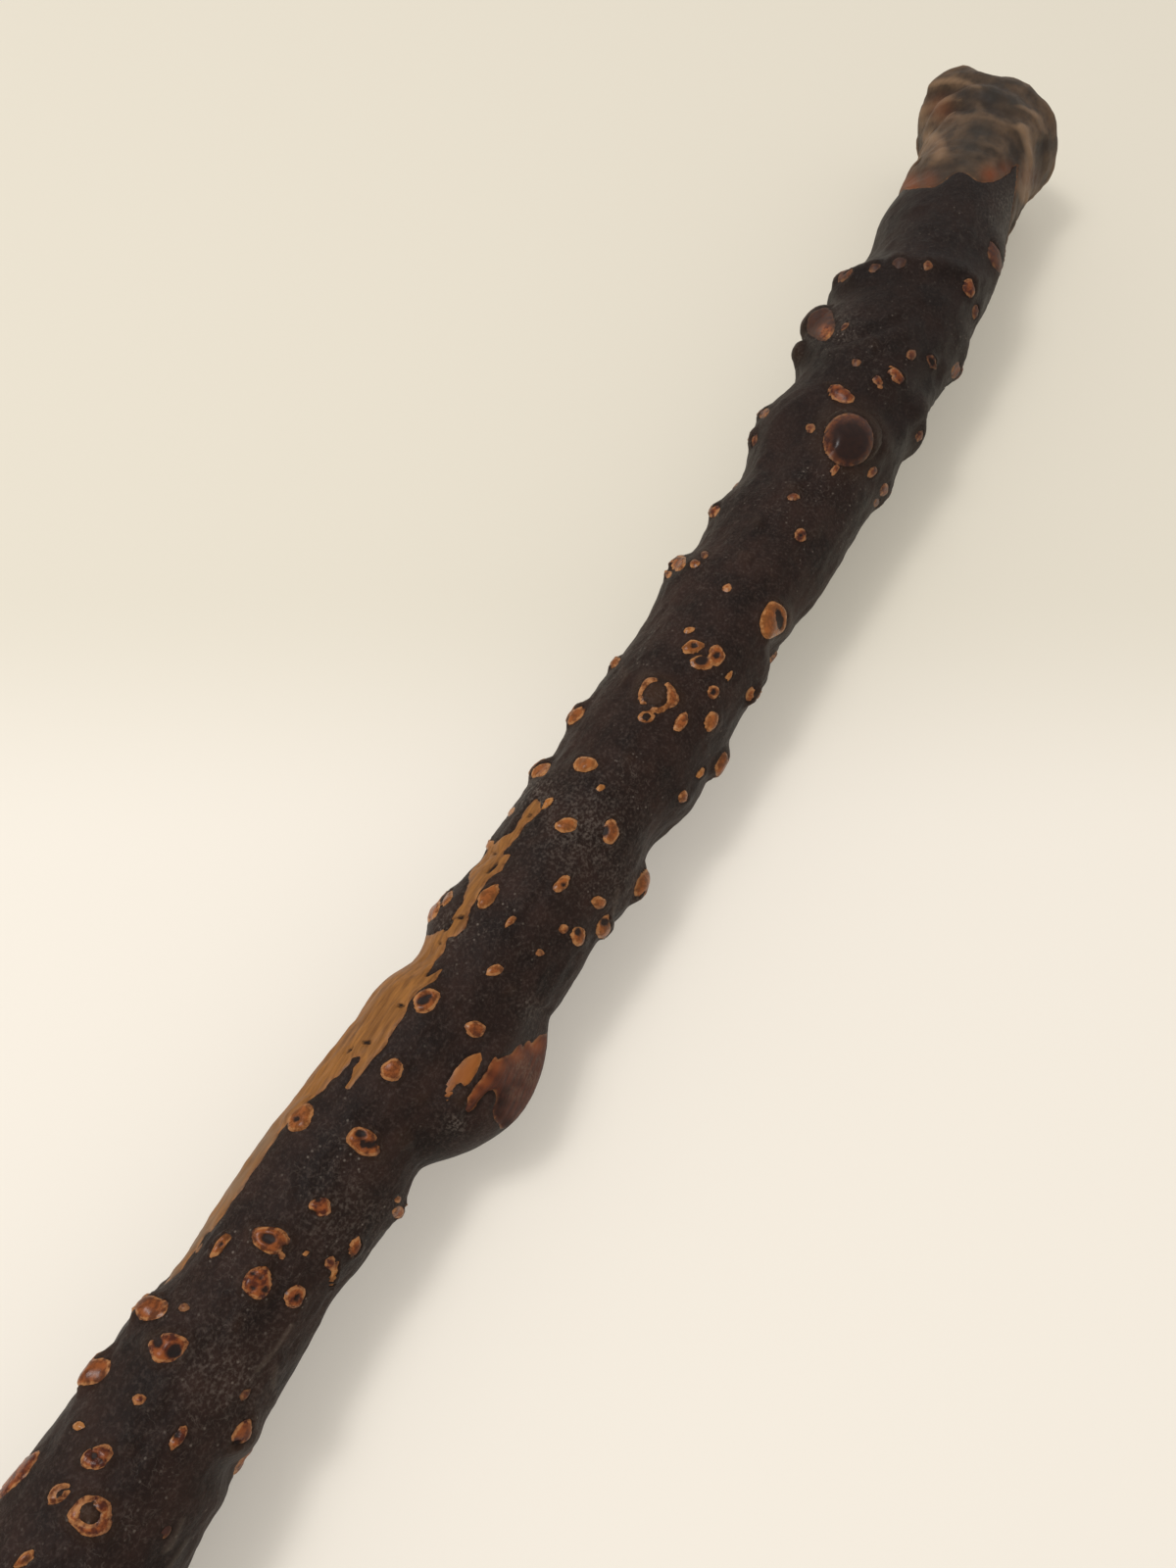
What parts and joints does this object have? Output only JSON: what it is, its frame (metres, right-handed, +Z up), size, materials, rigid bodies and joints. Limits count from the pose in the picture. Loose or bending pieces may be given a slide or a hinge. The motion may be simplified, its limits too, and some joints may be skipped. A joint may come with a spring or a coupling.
{
  "type": "shillelagh",
  "caption": "Knobbed walking stick of bark-covered wood, lightly bent, with trimmed thorn stubs, a bare root knob to hold and a pinned metal ferrule on its foot.",
  "frame": {"origin": "on the table under the middle of the stick's box", "axes": "+X along the stick from the foot to the knob, +Z up from the table that it lies on, +Y to the left when looking at the knob"},
  "size_m": [0.9, 0.0386, 0.0316],
  "materials": {
    "wood": "varnished blackthorn wood, orange brown at the stubs and greyer on the handled knob",
    "bark": "near-black blackthorn bark, satin, with grey dust in its pores",
    "ferrule_brass": "drawn brass, dulled by handling",
    "tip_steel": "turned steel, worn on the ground face",
    "pin_brass": "cut brass wire, filed flush"
  },
  "bodies": {
    "root": {"stem_wood": "wood", "bark": "bark", "ferrule_sleeve": "ferrule_brass", "ferrule_tip": "tip_steel", "ferrule_pins": "pin_brass"}
  },
  "joints": []
}
